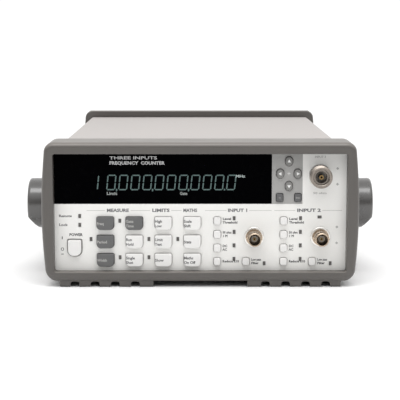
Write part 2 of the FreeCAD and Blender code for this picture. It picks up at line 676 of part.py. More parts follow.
def bus_connector():
    """24-way ribbon-style receptacle with its two threaded lock standoffs."""
    x, z = BUS_PORT
    face = REAR_FACE + 6.0
    w, h, slant, wall = 42.0, 11.4, 2.2, 0.9
    holes = pair(BUS_PORT, BUS_SCREWS)
    flange = rounded_block(x, z, 61.0, 15.5, 2.0, REAR_FACE - SHEET - 1.5, REAR_FACE - SHEET)
    flange = cut_all(flange, [rod_y(2.4, sx, sz, REAR_FACE - 10, REAR_FACE) for sx, sz in holes])
    shell = prism_y(slanted(x, z, w, h, slant), [1.5] * 4, REAR_FACE - 9, face)
    shell = shell.cut(prism_y(slanted(x, z, w, h, slant, wall), [1.0] * 4, face - 7, face + 1))
    tongue = rounded_block(x, z, 35.0, 3.6, 0.8, face - 7.5, face - 0.8)
    pieces = [fuse_all([flange, shell, tongue])]
    for sx, sz in holes:
        post = hexagon_y(7.0, sx, sz, REAR_FACE, face).fuse(rod_y(2.3, sx, sz, REAR_FACE - 5, REAR_FACE + 1))
        pieces.append(post.removeSplitter().cut(rod_y(1.6, sx, sz, face - 7, face + 1)))
    return Part.makeCompound(pieces)


def serial_connector():
    """Nine-way plug with a slanted shell, flange and two hexagonal jack posts."""
    x, z = SERIAL_PORT
    face = REAR_FACE + 6.0
    w, h, slant, wall = 17.4, 8.8, 1.3, 0.5
    holes = pair(SERIAL_PORT, SERIAL_SCREWS)
    flange = rounded_block(x, z, 30.8, 12.5, 2.2, REAR_FACE, REAR_FACE + 0.9)
    flange = cut_all(flange, [rod_y(1.5, sx, sz, REAR_FACE - 1, REAR_FACE + 2) for sx, sz in holes])
    shell = prism_y(slanted(x, z, w, h, slant), [1.8] * 4, REAR_FACE - 7, face)
    shell = shell.cut(prism_y(slanted(x, z, w, h, slant, wall), [1.4] * 4, face - 5.8, face + 1))
    pin_holes = [rod_y(0.55, px, pz, REAR_FACE - 8, REAR_FACE + 1) for px, pz in serial_pin_places()]
    pieces = [cut_all(fuse_all([flange, shell]), pin_holes)]
    for sx, sz in holes:
        post = hexagon_y(4.8, sx, sz, REAR_FACE + 0.9, face - 0.5)
        post = post.fuse(rod_y(1.45, sx, sz, REAR_FACE - 4, REAR_FACE + 1.5)).removeSplitter()
        pieces.append(post.cut(rod_y(1.15, sx, sz, face - 6, face + 1)))
    return Part.makeCompound(pieces)


# ---------------------------------------------------------------- fan
def fan_housing():
    """Square frame with a round duct, screw holes, three struts and the motor base."""
    x, z = FAN
    front = FAN_BACK - FAN_DEPTH
    frame = rounded_block(x, z, FAN_SIZE, FAN_SIZE, 4.0, front, FAN_BACK)
    waist = rounded_block(x, z, FAN_SIZE + 1, FAN_SIZE + 1, 0.5, front + 4, FAN_BACK - 4)
    waist = waist.cut(rod_y(30.2, x, z, front, FAN_BACK))
    frame = frame.cut(waist).cut(rod_y(28.6, x, z, front - 1, FAN_BACK + 1))
    frame = cut_all(frame, [rod_y(1.9, cx, cz, front - 1, FAN_BACK + 1) for cx, cz in fan_corners()])
    base = rod_y(13.0, x, z, FAN_BACK - 3, FAN_BACK)
    pieces = [frame, base]
    for k in range(3):
        strut = block(x + 11, x + 29, FAN_BACK - 3, FAN_BACK, z - 1.5, z + 1.5)
        strut.rotate(V(x, 0, z), V(0, 1, 0), 120 * k + 30)
        pieces.append(strut)
    shaft = rod_y(1.5, x, z, front + 8, FAN_BACK - 1)
    return fuse_all(pieces + [shaft])


def fan_rotor():
    """Hub cup with a shaft bore and seven pitched blades."""
    x, z = FAN
    front = FAN_BACK - FAN_DEPTH + 3
    back = FAN_BACK - 4.5
    middle = (front + back) / 2
    ring = rod_y(27.6, x, z, front, back).cut(rod_y(12.5, x, z, front - 1, back + 1))
    blades = []
    for k in range(7):
        blade = block(x + 11, x + 30, middle - 1.0, middle + 1.0, z - 12, z + 12)
        blade.rotate(V(x, y_at(middle), z), V(1, 0, 0), 38)
        blade.rotate(V(x, 0, z), V(0, 1, 0), 360.0 / 7 * k)
        blades.append(blade.common(ring))
    hub = rod_y(13.2, x, z, front, back)
    rotor = fuse_all([hub] + blades)
    return rotor.cut(rod_y(1.56, x, z, front + 3, back + 1))


# ---------------------------------------------------------------- boards and modules
def main_board():
    board = block(-30, 100, 36, 326, BOARD_Z, BOARD_TOP)
    return cut_all(board, [rod_z(1.7, x, d, BOARD_Z - 1, BOARD_TOP + 1) for x, d in BOARD_SCREWS])


def main_board_components():
    """Chips, a row of sockets and filter capacitors standing on the main board."""
    chips = [(0, 160, 30, 30), (50, 160, 26, 26), (0, 205, 22, 34), (44, 205, 24, 18), (0, 250, 20, 42),
             (74, 170, 14, 30), (-12, 285, 18, 10), (20, 285, 28, 12), (74, 300, 30, 12)]
    pieces = []
    for x, d, w, l in chips:
        pieces.append(block(x - w / 2, x + w / 2, d - l / 2, d + l / 2, BOARD_TOP, BOARD_TOP + 3.0))
    for k in range(4):
        pieces.append(rod_z(5.0, -20, 70 + 16 * k, BOARD_TOP, BOARD_TOP + 14))
    header = block(-4, 40, 42, 50, BOARD_TOP, BOARD_TOP + 6)
    return Part.makeCompound(pieces + [header])


def input_shield():
    """Screening can over the input amplifiers, open underneath."""
    outer = block(44, 98, 56, 128, BOARD_TOP, 46)
    inner = block(44.8, 97.2, 56.8, 127.2, BOARD_TOP - 1, 45.2)
    can = outer.cut(inner)
    return cut_all(can, [rod_z(2.5, 56 + 10 * k, 70 + 22 * j, 40, 50) for k in range(4) for j in range(3)])


def timebase_oven():
    can = block(40, 76, 232, 268, BOARD_TOP + 0.5, BOARD_TOP + 22)
    can = can.makeFillet(2.0, [e for e in can.Edges if e.BoundBox.ZMin > BOARD_TOP + 1])
    legs = [rod_z(0.6, x, d, BOARD_TOP, BOARD_TOP + 1) for x in (46, 70) for d in (238, 262)]
    return fuse_all([can] + legs)


def power_supply():
    """Converter board with transformer, choke, reservoir capacitors and a finned heat sink."""
    board = block(-100, -36, 190, 318, BOARD_Z, BOARD_TOP)
    board = cut_all(board, [rod_z(1.7, x, d, BOARD_Z - 1, BOARD_TOP + 1) for x, d in SUPPLY_SCREWS])
    core = block(-86, -50, 236, 266, BOARD_TOP, BOARD_TOP + 30)
    core = core.cut(block(-80, -56, 230, 270, BOARD_TOP + 6, BOARD_TOP + 24))
    winding = block(-79, -57, 233, 269, BOARD_TOP + 7, BOARD_TOP + 23)
    bulk = rod_z(11.0, -82, 218, BOARD_TOP, BOARD_TOP + 32)
    small = [rod_z(5.0, -54, 206 + 12 * k, BOARD_TOP, BOARD_TOP + 18) for k in range(2)]
    base = block(-96, -93, 206, 300, BOARD_TOP, 60)
    fins = [block(-93, -88, 276 + 4.5 * k, 277.5 + 4.5 * k, BOARD_TOP + 2, 60) for k in range(5)]
    sink = fuse_all([base.cut(block(-97, -92, 206, 270, 30, 61))] + fins)
    terminal = block(-86, -62, 304, 314, BOARD_TOP, BOARD_TOP + 10)
    return Part.makeCompound([board, core, winding, bulk] + small + [sink, terminal])


def ribbon_cable():
    """Flat cable from the front board down to the main board, with its two sockets."""
    t, z, d = 0.9, 44.0, 46.0
    bend = 5.0
    front = FRONT_BOARD + BOARD_T
    low = BOARD_TOP + 13
    route = [(front + 6, z), (d + t, z), (d + t, low), (d, low), (d, z - t), (front + 6, z - t)]
    strip = prism_x(route, [0, bend + t, 0, 0, bend, 0], 0, 36)
    upper = block(-2, 38, front, front + 6, z - 3, z + 2)
    lower = block(-2, 38, 42.5, 49.5, BOARD_TOP + 6, BOARD_TOP + 13)
    return Part.makeCompound([strip, upper, lower])


def internal_wiring():
    """Three mains leads from the inlet to the converter, two fan leads and the channel 3 coaxial lead."""
    leads = []
    for x, z in inlet_blade_places():
        route = [(x, REAR_FACE - 26, z), (x, 318, z), (x, 309, 42), (x, 309, BOARD_TOP + 10)]
        leads.append(tube_along(route, 1.1, 4.0))
    for k in range(2):
        x = FAN[0] - 20 + 3 * k
        route = [(x, FAN_BACK - FAN_DEPTH, 34), (x, 312, 34), (x, 300, BOARD_TOP + 8), (x, 300, BOARD_TOP)]
        leads.append(tube_along(route, 0.8, 4.0))
    x, z = JACK_3
    route = [(x, PANEL_FACE + 17, z), (x, 44, z), (x, 50, 66), (x, 50, BOARD_TOP)]
    leads.append(tube_along(route, 1.3, 5.0))
    return Part.makeCompound(leads)


# ---------------------------------------------------------------- handle
def handle():
    """Moulded U-shaped carry handle: two hubs, two flat arms and a flat strap that stows under the case."""
    strap_d0 = PIVOT_DEPTH + 72.0
    strap_d1 = PIVOT_DEPTH + 100.0
    strap_z0 = 0.3
    strap_z1 = CASE_Z0 - 0.45
    edge = 2.4
    section = [(strap_d0, strap_z0), (strap_d1, strap_z0), (strap_d1, strap_z1), (strap_d0, strap_z1)]
    strap = prism_x(section, [edge] * 4, -ARM_OUT, ARM_OUT)
    arm = [(PIVOT_DEPTH - 6.3, MID_Z - 11.4), (strap_d0, strap_z0), (strap_d1, strap_z0),
           (strap_d1, strap_z1 + 4), (PIVOT_DEPTH + 6.3, MID_Z + 11.4)]
    arms = [prism_x(arm, [0, 3.0, 3.0, 6.0, 0], *side_span(s, ARM_IN, ARM_OUT)) for s in (-1, 1)]
    top = MID_Z + 20
    corners = [(-ARM_OUT, strap_z0), (ARM_OUT, strap_z0), (ARM_OUT, top), (-ARM_OUT, top)]
    rounding = prism_y(corners, [5.0, 5.0, 0, 0], PIVOT_DEPTH - 30, strap_d1 + 10)
    frame = fuse_all([strap] + arms).common(rounding)
    whole = fuse_all([frame] + [handle_hub(s) for s in (-1, 1)])
    bores = [rod_x(PIN_R + 0.05, PIVOT_DEPTH, MID_Z, *side_span(s, HUB_IN - 1, 122.5)) for s in (-1, 1)]
    return cut_all(whole, bores)


def side_span(side, near, far):
    """The lower and upper X of a stretch on the left (-1) or right (1) side."""
    return sorted((side * near, side * far))


def handle_hub(side):
    """A round hub whose outer face is sloped away along its lower edge."""
    outer = HANDLE_W / 2
    hub = rod_x(HUB_R, PIVOT_DEPTH, MID_Z, HUB_IN, outer)
    rim = [e for e in hub.Edges if e.BoundBox.XMin > outer - 0.1 and e.BoundBox.XMax < outer + 0.1]
    hub = hub.makeFillet(2.4, rim)
    slope_top = 8.0
    slope_in = 8.0
    low = MID_Z - HUB_R - 3
    run = (low - (MID_Z - slope_top)) / (HUB_R - slope_top) * slope_in
    high = MID_Z - slope_top
    corners = [(outer + 6, high), (outer, high), (outer + run, low), (outer + 6, low)]
    hub = hub.cut(prism_y(corners, [0, 4.0, 0, 0], PIVOT_DEPTH - 30, PIVOT_DEPTH + 30))
    if side < 0:
        hub = hub.mirror(V(0, 0, 0), V(1, 0, 0))
    return hub


def handle_bosses():
    """Pivot bosses outside the sleeve, each held by a ring nut inside it."""
    pieces = []
    for side in (-1, 1):
        plate = rod_x(14.0, PIVOT_DEPTH, MID_Z, *side_span(side, HALF_W, HALF_W + 2.0))
        pin = rod_x(PIN_R, PIVOT_DEPTH, MID_Z, *side_span(side, HALF_W + 1, 122.0))
        neck = rod_x(4.9, PIVOT_DEPTH, MID_Z, *side_span(side, 101.0, HALF_W + 1))
        pieces.append(fuse_all([plate, pin, neck]))
        nut = rod_x(9.0, PIVOT_DEPTH, MID_Z, *side_span(side, 101.5, HALF_W - SHEET))
        pieces.append(nut.cut(rod_x(4.95, PIVOT_DEPTH, MID_Z, *side_span(side, 100.0, HALF_W))))
    return Part.makeCompound(pieces)


# ---------------------------------------------------------------- fasteners
def screw(head_at, towards, length, shank_r, head_r):
    """A pan-head cross-recess screw; head_at is the centre of the seat under the head."""
    head_h = shank_r * 1.2
    head = Part.makeCylinder(head_r, head_h, head_at, towards * -1)
    rim = [e for e in head.Edges if e.Length > 2 and (e.BoundBox.Center - head_at).Length > head_h * 0.9]
    head = head.makeFillet(head_h * 0.45, rim)
    shank = Part.makeCylinder(shank_r, length, head_at, towards)
    whole = head.fuse(shank).removeSplitter()
    slot_l, slot_w, slot_h = head_r * 1.2, head_r * 0.28, head_h * 0.6
    cross = Part.makeBox(slot_l, slot_w, slot_h, V(-slot_l / 2, -slot_w / 2, 0))
    cross = cross.fuse(Part.makeBox(slot_w, slot_l, slot_h, V(-slot_w / 2, -slot_l / 2, 0)))
    turn = FreeCAD.Rotation(V(0, 0, 1), towards * -1)
    cross.Placement = FreeCAD.Placement(head_at - towards * (head_h - slot_h + 0.01), turn)
    return whole.cut(cross)


def screws():
    """Board, rear panel, fan and inlet screws."""
    pieces = []
    down, inward = V(0, 0, -1), V(0, -1, 0)
    for x, d in BOARD_SCREWS + SUPPLY_SCREWS:
        pieces.append(screw(V(x, y_at(d), BOARD_TOP), down, 6.0, 1.45, 2.8))
    for x, z in CORNER_TABS:
        pieces.append(screw(V(x, y_at(REAR_FACE), z), inward, 5.0, 1.45, 2.9))
    for x, z in fan_corners():
        pieces.append(screw(V(x, y_at(REAR_FACE), z), inward, 12.0, 1.8, 3.4))
    for x, z in pair(INLET, INLET_SCREWS):
        pieces.append(screw(V(x, y_at(REAR_FACE + 2.5), z), inward, 7.0, 1.5, 2.6))
    return Part.makeCompound(pieces)


# ---------------------------------------------------------------- export
def all_parts():
    makers = [
        front_bumper, rear_bumper, cover, chassis, rear_panel, front_panel, display_window, display_module,
        front_board, keypad_mat, indicator_lenses, main_board, main_board_components, input_shield,
        timebase_oven, power_supply, power_inlet, fan_housing, fan_rotor, bus_connector, serial_connector,
        front_jacks, channel_3_jack, rear_jacks, jack_insulators, connector_contacts, ribbon_cable,
        internal_wiring, handle, handle_bosses, screws,
    ]
    parts = {maker.__name__: maker() for maker in makers}
    for name, centre, size, radii, proud in key_table():
        parts[name] = key_cap(name, centre, size, radii, proud)
    return parts


def main():
    os.makedirs("parts", exist_ok=True)
    whole = FreeCAD.BoundBox()
    for name, shape in all_parts().items():
        shape.translate(V(0, 0, LIFT))
        bad = [s for s in shape.Solids if not s.isValid() or s.Volume <= 0]
        print(f"{name}: {len(shape.Solids)} solids, {shape.Volume / 1000:.2f} cm3", "INVALID" if bad else "")
        shape.exportStep(f"parts/{name}.step")
        whole.add(shape.optimalBoundingBox(False, False))
    print(f"x {whole.XMin:.2f} {whole.XMax:.2f}  y {whole.YMin:.2f} {whole.YMax:.2f}")
    print(f"z {whole.ZMin:.2f} {whole.ZMax:.2f}")


main()
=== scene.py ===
"""Looks for the frequency counter: printed panel, display, turned jack, procedural materials, studio."""

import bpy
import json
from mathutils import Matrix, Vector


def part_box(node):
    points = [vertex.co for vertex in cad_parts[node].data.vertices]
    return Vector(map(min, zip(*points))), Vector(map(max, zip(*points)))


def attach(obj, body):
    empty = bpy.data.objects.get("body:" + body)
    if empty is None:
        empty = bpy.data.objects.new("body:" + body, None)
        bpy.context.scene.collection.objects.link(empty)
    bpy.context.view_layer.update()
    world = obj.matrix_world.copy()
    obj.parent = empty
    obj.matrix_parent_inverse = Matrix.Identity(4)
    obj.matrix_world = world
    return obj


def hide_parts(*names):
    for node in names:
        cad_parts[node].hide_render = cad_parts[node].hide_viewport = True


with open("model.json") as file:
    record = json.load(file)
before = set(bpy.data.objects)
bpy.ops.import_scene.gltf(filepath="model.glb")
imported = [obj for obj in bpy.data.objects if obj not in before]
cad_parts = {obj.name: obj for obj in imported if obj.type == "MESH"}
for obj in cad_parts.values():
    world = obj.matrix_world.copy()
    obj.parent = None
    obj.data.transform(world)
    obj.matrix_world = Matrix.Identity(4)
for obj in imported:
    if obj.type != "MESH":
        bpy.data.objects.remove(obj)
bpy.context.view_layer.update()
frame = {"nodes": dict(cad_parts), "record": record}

import json
import math

import bmesh
import bpy
from mathutils import Matrix, Vector

MM = 0.001
ROOT = "instrument"
PRINT_T = 0.03 * MM              # thickness of a printed layer

# ---------------------------------------------------------------- places taken from the frame
PANEL_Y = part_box("front_panel")[0][1]
WINDOW_LO, WINDOW_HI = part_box("display_window")
REAR_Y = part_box("rear_panel")[1][1]
BOARD_TOP_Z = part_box("main_board")[1][2]


def centre_of(node):
    lo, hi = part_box(node)
    return (lo + hi) / 2


# ---------------------------------------------------------------- material helpers
def srgb(r, g, b):
    """Linear colour from 0 to 255 display values."""
    def linear(v):
        v /= 255
        return v / 12.92 if v <= 0.04045 else ((v + 0.055) / 1.055) ** 2.4
    return (linear(r), linear(g), linear(b), 1.0)


def scaled(colour, factor):
    return tuple(min(1.0, c * factor) for c in colour[:3]) + (1.0,)


class Shader:
    """A material's node tree with short calls for the nodes that the materials below share."""

    def __init__(self, name):
        self.material = bpy.data.materials.new(name)
        self.material.use_nodes = True
        self.tree = self.material.node_tree
        self.surface = self.tree.nodes["Principled BSDF"]
        self.place = self.node("ShaderNodeTexCoord").outputs["Object"]

    def node(self, kind, **settings):
        node = self.tree.nodes.new(kind)
        for key, value in settings.items():
            setattr(node, key, value)
        return node

    def link(self, output, target):
        self.tree.links.new(output, target)

    def fill(self, target, value):
        """Links an output to a socket, or sets a plain value on it."""
        if isinstance(value, bpy.types.NodeSocket):
            self.link(value, target)
        else:
            target.default_value = value

    def noise(self, scale, detail=3.0, vector=None):
        node = self.node("ShaderNodeTexNoise")
        node.inputs["Scale"].default_value = scale
        node.inputs["Detail"].default_value = detail
        node.inputs["Roughness"].default_value = 0.55
        self.link(vector or self.place, node.inputs["Vector"])
        return node.outputs["Fac"]

    def span(self, value, low, high, out_low=0.0, out_high=1.0):
        node = self.node("ShaderNodeMapRange")
        node.inputs["From Min"].default_value = low
        node.inputs["From Max"].default_value = high
        node.inputs["To Min"].default_value = out_low
        node.inputs["To Max"].default_value = out_high
        self.link(value, node.inputs["Value"])
        return node.outputs["Result"]

    def maths(self, operation, a, b=0.0):
        node = self.node("ShaderNodeMath", operation=operation)
        self.fill(node.inputs[0], a)
        self.fill(node.inputs[1], b)
        return node.outputs[0]

    def mix(self, factor, a, b):
        node = self.node("ShaderNodeMix", data_type="RGBA")
        self.fill(node.inputs["Factor"], factor)
        self.fill(node.inputs["A"], a)
        self.fill(node.inputs["B"], b)
        return node.outputs["Result"]

    def axes(self):
        node = self.node("ShaderNodeSeparateXYZ")
        self.link(self.place, node.inputs[0])
        return node.outputs[0], node.outputs[1], node.outputs[2]

    def within(self, value, low, high):
        """1 between low and high, 0 outside."""
        above = self.maths("GREATER_THAN", value, low)
        below = self.maths("LESS_THAN", value, high)
        return self.maths("MULTIPLY", above, below)

    def bump(self, height, strength, depth):
        """Relief on the surface, from a height between 0 and 1 and a depth in metres."""
        node = self.node("ShaderNodeBump")
        node.inputs["Strength"].default_value = strength
        node.inputs["Distance"].default_value = depth
        self.link(height, node.inputs["Height"])
        self.link(node.outputs["Normal"], self.surface.inputs["Normal"])

    def shaded(self, tone, distance, low=0.25, high=0.75, left=0.06):
        """The tone with painted shade: it sinks to a small share of itself in deep recesses."""
        recess = self.node("ShaderNodeAmbientOcclusion")
        recess.samples = 8
        recess.inputs["Distance"].default_value = distance
        dark = self.node("ShaderNodeMix", data_type="RGBA", blend_type="MULTIPLY")
        self.link(self.span(recess.outputs["AO"], low, high, 1.0, 0.0), dark.inputs["Factor"])
        self.link(tone, dark.inputs["A"])
        dark.inputs["B"].default_value = (left, left, left, 1.0)
        return dark.outputs["Result"]

    def upward(self):
        """The Z part of the shape's own normal: 1 on a flat upper face, 0 on an upright one."""
        parts = self.node("ShaderNodeSeparateXYZ")
        self.link(self.node("ShaderNodeNewGeometry").outputs["True Normal"], parts.inputs[0])
        return parts.outputs["Z"]

    def edge(self, radius):
        """Near 1 along the shape's sharp edges and 0 elsewhere."""
        soft = self.node("ShaderNodeBevel")
        soft.samples = 4
        soft.inputs["Radius"].default_value = radius
        geometry = self.node("ShaderNodeNewGeometry")
        dot = self.node("ShaderNodeVectorMath", operation="DOT_PRODUCT")
        self.link(soft.outputs["Normal"], dot.inputs[0])
        self.link(geometry.outputs["Normal"], dot.inputs[1])
        return self.span(dot.outputs["Value"], 0.98, 0.80)

    def set(self, **values):
        for key, value in values.items():
            self.surface.inputs[key.replace("_", " ")].default_value = value


def moulded(name, colour, roughness, grain, depth, mottle, wear=0.0, wear_colour=None, recess=0.0,
            left=0.06, dust_and_top_light=1.0):
    """Moulded or cast surface: fine grain in the relief, slow mottling, and paler rubbed edges.

    grain: scale of the fine noise; depth: its relief in mm; mottle: share by which the tone wanders.
    wear: how far sharp edges turn to wear_colour. recess: distance in metres within which hollows take
    painted shade, down to the share that is left. dust_and_top_light: how many times paler the upper faces
    are painted, as painted light.
    """
    s = Shader(name)
    slow = s.noise(38.0, 4.0)
    fine = s.noise(grain, 2.0)
    tone = s.mix(s.span(slow, 0.3, 0.7), scaled(colour, 1 - mottle), scaled(colour, 1 + mottle))
    tone = s.mix(s.span(fine, 0.35, 0.65, 0.0, 0.35), tone, scaled(colour, 1 - 1.6 * mottle))
    if wear > 0:
        patchy = s.maths("MULTIPLY", s.edge(0.9 * MM), s.span(s.noise(160.0), 0.35, 0.65, 0.25, 1.0))
        tone = s.mix(s.maths("MULTIPLY", patchy, wear), tone, wear_colour)
    # Painted light: faces turned upwards are made paler by the given factor.
    if dust_and_top_light > 1:
        tone = s.mix(s.span(s.upward(), 0.2, 0.6), tone, scaled(colour, dust_and_top_light))
    # Painted shade: hollows within the given distance darken.
    if recess > 0:
        tone = s.shaded(tone, recess, left=left)
    s.link(tone, s.surface.inputs["Base Color"])
    rough = s.span(slow, 0.3, 0.7, roughness - 0.05, roughness + 0.05)
    s.link(rough, s.surface.inputs["Roughness"])
    s.bump(fine, 0.35, depth * MM)
    return s


def metal(name, colour, roughness, tarnish, left=0.06, proud=None, proud_colour=None):
    """Plated metal with faint tool lines across one axis and uneven tarnish, with painted shade in its
    hollows.

    With proud set, what stands that far out of the front or rear panel has another colour.
    """
    s = Shader(name)
    s.set(Metallic=1.0)
    slow = s.noise(120.0, 4.0)
    tone = s.mix(s.span(slow, 0.35, 0.75, 0.0, tarnish), colour, scaled(colour, 0.55))
    if proud:
        _, y, _ = s.axes()
        front = s.span(y, PANEL_Y - proud, PANEL_Y - proud - 0.3 * MM)
        back = s.span(y, REAR_Y + proud, REAR_Y + proud + 0.3 * MM)
        tone = s.mix(s.maths("MAXIMUM", front, back), tone, proud_colour)
    # Painted shade: the tone sinks in hollows within 6 mm.
    s.link(s.shaded(tone, 6.0 * MM, 0.1, 0.6, left), s.surface.inputs["Base Color"])
    stretch = s.node("ShaderNodeMapping")
    stretch.inputs["Scale"].default_value = (1.0, 12.0, 1.0)
    s.link(s.place, stretch.inputs["Vector"])
    grooves = s.noise(900.0, 2.0, vector=stretch.outputs["Vector"])
    s.link(s.span(grooves, 0.3, 0.7, roughness - 0.06, roughness + 0.08), s.surface.inputs["Roughness"])
    s.bump(grooves, 0.25, 0.02 * MM)
    return s.material


# ---------------------------------------------------------------- materials
BUMPER_GREY = srgb(78, 74, 70)
COVER_GREY = srgb(178, 173, 170)
PANEL_WHITE = srgb(232, 231, 228)
PAD_GREY = srgb(157, 156, 154)
DARK_KEY = srgb(94, 94, 94)
LIGHT_KEY = srgb(224, 223, 221)
HANDLE_GREY = srgb(70, 68, 66)
ARROW_KEY = srgb(122, 121, 119)
SQUARE_KEY = srgb(88, 88, 89)
# Tan tone for the nickel where it stands proud of the front or rear panel.
PROUD_NICKEL_TAN = srgb(186, 168, 148)
DULL_PLATE = srgb(146, 138, 130)


def bumper_rubber():
    """Firm grey rubber, with painted light on its upper faces and painted shade in its slots."""
    wear = srgb(150, 146, 142)
    # Upper faces are painted twice as pale as painted light, and hollows within 5 mm take painted shade.
    s = moulded("bumper_rubber", BUMPER_GREY, 0.42, 1900.0, 0.05, 0.05, 0.25, wear, 5.0 * MM, dust_and_top_light=2.0)
    s.set(Specular_IOR_Level=0.7, Coat_Weight=0.15, Coat_Roughness=0.45)
    return s.material


def cover_paint():
    """Powder coat: orange-peel relief, speckle and a slightly glossy skin."""
    s = Shader("cover_paint")
    speckle = s.noise(2600.0, 1.0)
    slow = s.noise(9.0, 3.0)
    tone = s.mix(s.span(slow, 0.3, 0.7), scaled(COVER_GREY, 0.97), scaled(COVER_GREY, 1.02))
    tone = s.mix(s.span(speckle, 0.62, 0.72, 0.0, 0.25), tone, scaled(COVER_GREY, 0.75))
    s.link(tone, s.surface.inputs["Base Color"])
    s.link(s.span(slow, 0.3, 0.7, 0.5, 0.58), s.surface.inputs["Roughness"])
    s.set(Specular_IOR_Level=0.3)
    peel = s.noise(520.0, 2.0)
    s.bump(peel, 0.30, 0.08 * MM)
    return s.material


def panel_plastic():
    """White moulded panel, with the grey printed field round the arrow keys."""
    s = Shader("panel_plastic")
    x, y, z = s.axes()
    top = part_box("arrow_up_key")[1][2] + 1.0 * MM
    pad = s.within(x, WINDOW_HI[0] + 0.1 * MM, WINDOW_HI[0] + 22.0 * MM)
    pad = s.maths("MULTIPLY", pad, s.within(z, WINDOW_LO[2] - 0.1 * MM, top))
    pad = s.maths("MULTIPLY", pad, s.maths("LESS_THAN", y, PANEL_Y + 0.2 * MM))
    slow = s.noise(25.0, 3.0)
    fine = s.noise(2000.0, 2.0)
    white = s.mix(s.span(slow, 0.3, 0.7), scaled(PANEL_WHITE, 0.975), PANEL_WHITE)
    white = s.mix(s.span(fine, 0.4, 0.65, 0.0, 0.5), white, scaled(PANEL_WHITE, 0.95))
    grey = s.mix(s.span(slow, 0.3, 0.7), scaled(PAD_GREY, 0.94), scaled(PAD_GREY, 1.03))
    s.link(s.mix(pad, white, grey), s.surface.inputs["Base Color"])
    s.link(s.span(fine, 0.3, 0.7, 0.48, 0.6), s.surface.inputs["Roughness"])
    s.bump(fine, 0.3, 0.035 * MM)
    return s.material


def window_plastic():
    """Dark tinted pane: near black, smooth, with a faint film of dust."""
    s = Shader("window_plastic")
    dust_and_top_light = s.span(s.noise(300.0, 5.0), 0.55, 0.8)
    tone = s.mix(dust_and_top_light, srgb(0, 0, 1), srgb(3, 3, 4))
    s.link(tone, s.surface.inputs["Base Color"])
    s.link(s.span(s.noise(60.0), 0.3, 0.7, 0.10, 0.2), s.surface.inputs["Roughness"])
    s.set(Specular_IOR_Level=0.01)
    return s.material


def light_key_plastic():
    wear = srgb(250, 250, 249)
    return moulded("light_key_plastic", LIGHT_KEY, 0.5, 1800.0, 0.03, 0.02, 0.15, wear).material


def dark_key_plastic():
    return moulded("dark_key_plastic", DARK_KEY, 0.5, 1800.0, 0.03, 0.04, 0.2, srgb(150, 150, 150)).material


def pad_key_plastic(name, colour):
    return moulded(name, colour, 0.55, 1800.0, 0.03, 0.04, 0.15, scaled(colour, 1.5)).material


def handle_plastic():
    """Smooth dark plastic with a sheen, rubbed pale at its edges."""
    wear = srgb(135, 133, 131)
    s = moulded("handle_plastic", HANDLE_GREY, 0.28, 1500.0, 0.015, 0.05, 0.25, wear)
    s.set(Specular_IOR_Level=0.8, Coat_Weight=0.5, Coat_Roughness=0.15)
    return s.material


def black_plastic():
    return moulded("black_plastic", srgb(38, 38, 40), 0.5, 1200.0, 0.05, 0.1, 0.2, srgb(80, 80, 82)).material


def circuit_board():
    """Green solder mask over copper tracks, with pads showing through."""
    s = Shader("circuit_board")
    tracks = s.node("ShaderNodeTexBrick")
    tracks.inputs["Scale"].default_value = 170.0
    tracks.inputs["Mortar Size"].default_value = 0.06
    tracks.inputs["Color1"].default_value = srgb(28, 92, 52)
    tracks.inputs["Color2"].default_value = srgb(24, 82, 46)
    tracks.inputs["Mortar"].default_value = srgb(52, 128, 78)
    s.link(s.place, tracks.inputs["Vector"])
    cells = s.node("ShaderNodeTexVoronoi")
    cells.inputs["Scale"].default_value = 260.0
    s.link(s.place, cells.inputs["Vector"])
    pads = s.span(cells.outputs["Distance"], 0.16, 0.12)
    s.link(s.mix(pads, tracks.outputs["Color"], srgb(196, 190, 170)), s.surface.inputs["Base Color"])
    s.link(s.span(s.noise(80.0), 0.3, 0.7, 0.3, 0.42), s.surface.inputs["Roughness"])
    s.bump(tracks.outputs["Fac"], 0.3, 0.05 * MM)
    return s.material


def supply_parts():
    """Converter module: green board below, then dark and copper-taped parts by height."""
    s = Shader("supply_parts")
    _, _, z = s.axes()
    mottled = s.mix(s.span(s.noise(90.0), 0.4, 0.6), srgb(58, 54, 48), srgb(84, 74, 56))
    tape = s.within(z, BOARD_TOP_Z + 7 * MM, BOARD_TOP_Z + 23 * MM)
    upper = s.mix(s.maths("MULTIPLY", tape, 0.7), mottled, srgb(172, 138, 66))
    board = s.maths("LESS_THAN", z, BOARD_TOP_Z + 0.05 * MM)
    s.link(s.mix(board, upper, srgb(34, 96, 56)), s.surface.inputs["Base Color"])
    s.link(s.span(s.noise(150.0), 0.3, 0.7, 0.35, 0.55), s.surface.inputs["Roughness"])
    s.bump(s.noise(700.0), 0.3, 0.06 * MM)
    return s.material


def ribbed_cable():
    """Grey insulation with the parallel ridges of a flat cable's conductors, and painted shade in the grooves
    between them.
    """
    s = Shader("cable_grey")
    x, _, _ = s.axes()
    ridges = s.maths("ABSOLUTE", s.maths("SINE", s.maths("MULTIPLY", x, math.pi / (1.27 * MM))))
    # Painted shade: darker in the grooves, paler on the crests.
    s.link(s.mix(ridges, srgb(120, 120, 118), srgb(168, 168, 165)), s.surface.inputs["Base Color"])
    s.link(s.span(s.noise(200.0), 0.3, 0.7, 0.45, 0.6), s.surface.inputs["Roughness"])
    s.bump(ridges, 0.5, 0.15 * MM)
    return s.material


def lens_plastic():
    """Unlit indicator: smoked plastic with a glossy skin."""
    s = Shader("lens_plastic")
    cloud = s.span(s.noise(400.0), 0.3, 0.7)
    s.link(s.mix(cloud, srgb(62, 59, 57), srgb(84, 80, 77)), s.surface.inputs["Base Color"])
    s.link(s.span(s.noise(900.0), 0.3, 0.7, 0.16, 0.3), s.surface.inputs["Roughness"])
    s.set(Coat_Weight=0.4)
    return s.material


